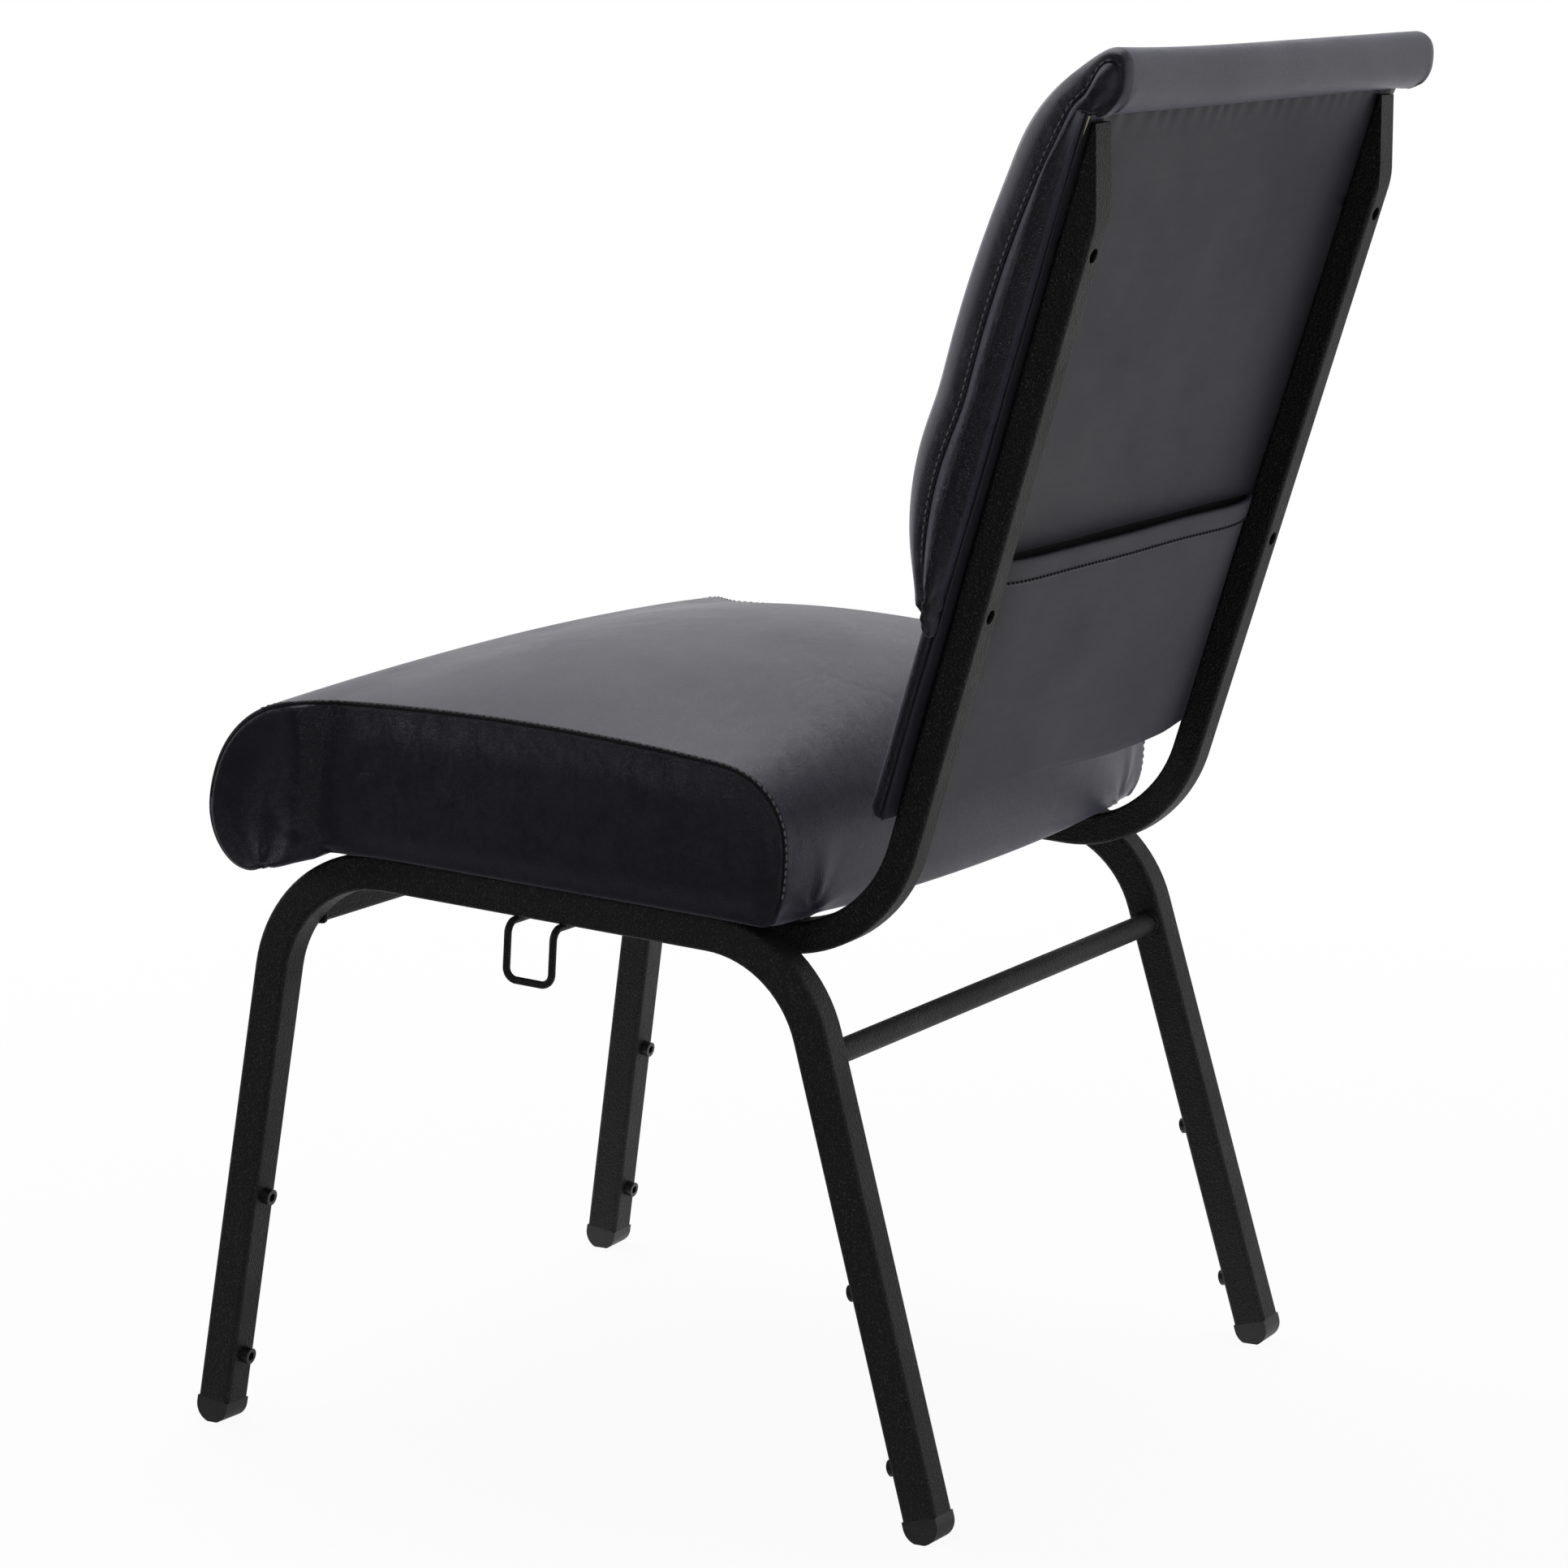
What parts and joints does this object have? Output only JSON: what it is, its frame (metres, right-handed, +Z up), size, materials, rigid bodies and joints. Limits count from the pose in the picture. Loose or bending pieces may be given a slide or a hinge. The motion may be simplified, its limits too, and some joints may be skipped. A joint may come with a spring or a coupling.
{
  "type": "upholstered stacking choir chair",
  "caption": "Black vinyl choir chair with a thick crowned seat, rolled back, rear book pocket, square-tube side frames and a ganging loop.",
  "frame": {"origin": "on the floor, under the centre of the chair's bounding box", "axes": "+X towards the sitter's left, the chair faces -Y, +Z up"},
  "size_m": [0.514, 0.6108, 0.8448],
  "materials": {
    "frame_coat": "black powder coat with a fine sandy texture",
    "glide_plastic": "matt black plastic",
    "fastener_black": "black oxide, satin",
    "zinc": "zinc plated",
    "vinyl": "black upholstery vinyl with a soft satin sheen",
    "foam": "open-cell foam",
    "plywood": "bare plywood",
    "dust_cloth": "black non-woven cloth"
  },
  "bodies": {
    "root": {"left_leg_frame": "frame_coat", "right_leg_frame": "frame_coat", "left_back_upright": "frame_coat", "right_back_upright": "frame_coat", "front_cross_rail": "frame_coat", "rear_stretcher": "frame_coat", "middle_seat_strap": "frame_coat", "rear_seat_strap": "frame_coat", "left_ganging_loop": "frame_coat", "right_ganging_hook": "frame_coat", "left_front_glide": "glide_plastic", "left_front_leg_studs": "fastener_black", "left_rear_glide": "glide_plastic", "left_rear_leg_studs": "fastener_black", "left_back_screws": "fastener_black", "right_front_glide": "glide_plastic", "right_front_leg_studs": "fastener_black", "right_rear_glide": "glide_plastic", "right_rear_leg_studs": "fastener_black", "right_back_screws": "fastener_black", "seat_screws": "fastener_black", "seat_tee_nuts": "zinc", "back_tee_nuts": "zinc", "seat_cushion": "vinyl", "back_cushion": "vinyl", "back_rear_cover": "vinyl", "lower_back_pad": "vinyl", "book_pocket": "vinyl", "seat_foam": "foam", "back_foam": "foam", "seat_board": "plywood", "back_board": "plywood", "seat_dust_cloth": "dust_cloth"}
  },
  "joints": []
}
